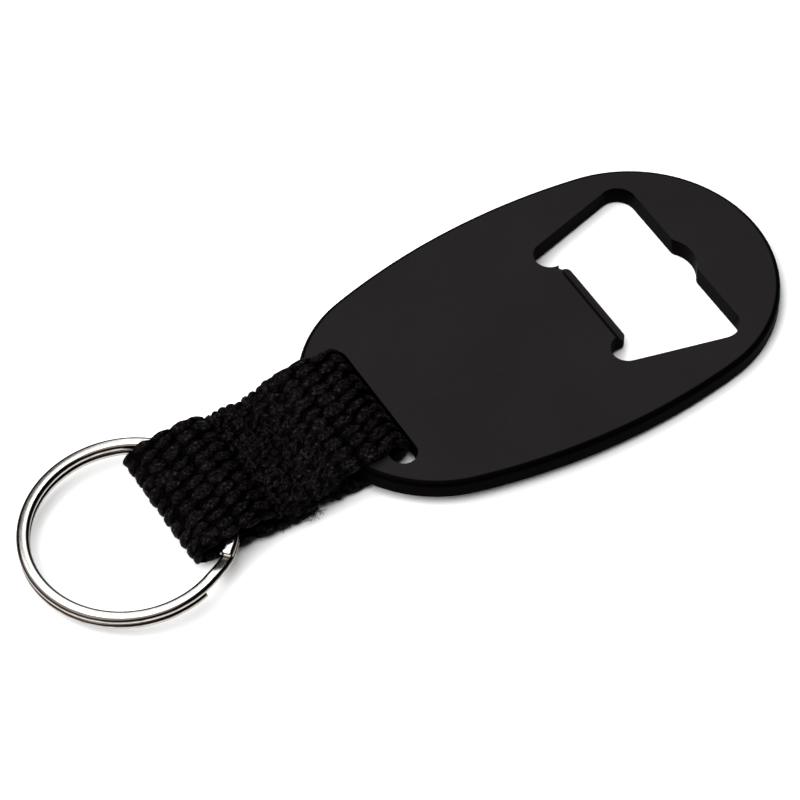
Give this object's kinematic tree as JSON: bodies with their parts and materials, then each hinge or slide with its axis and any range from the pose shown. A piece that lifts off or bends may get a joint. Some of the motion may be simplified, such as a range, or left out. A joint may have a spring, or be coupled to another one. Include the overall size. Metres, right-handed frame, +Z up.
{
  "type": "keychain bottle opener",
  "caption": "Flat oval bottle opener with a cap window and lifting lip, a stitched webbing strap through its slot, and a split key ring.",
  "frame": {"origin": "centre of the opener plate's outline, on its underside", "axes": "+X along the object towards the plate's rounded tip (the key ring is towards -X), +Y across the plate, +Z up out of the plate's upper face"},
  "size_m": [0.1161, 0.043, 0.0064],
  "materials": {
    "anodised_plate": "black anodised, satin",
    "webbing": "ribbed woven webbing",
    "thread": "sewing thread",
    "plated_ring": "bright nickel plating"
  },
  "bodies": {
    "opener": {"opener_plate": "anodised_plate", "webbing_bar_loop": "webbing"},
    "strap": {"webbing_strap": "webbing", "stitching": "thread"},
    "ring_loop": {"webbing_ring_loop": "webbing"},
    "ring": {"split_ring": "plated_ring"}
  },
  "joints": [
    {"name": "strap_swing", "type": "hinge", "parent": "opener", "child": "strap", "pos_m": [-0.0392, 0, 0.0002], "axis": [0, 1, 0], "range_deg": [-75, 75]},
    {"name": "ring_loop_swing", "type": "hinge", "parent": "strap", "child": "ring_loop", "pos_m": [-0.0473, 0, 0.0002], "axis": [0, 1, 0], "range_deg": [-70, 70]},
    {"name": "ring_spin", "type": "hinge", "parent": "ring_loop", "child": "ring", "pos_m": [-0.06512, 0.00035, 0.00045], "axis": [-0.0645, 0, 0.9979], "continuous": true}
  ]
}
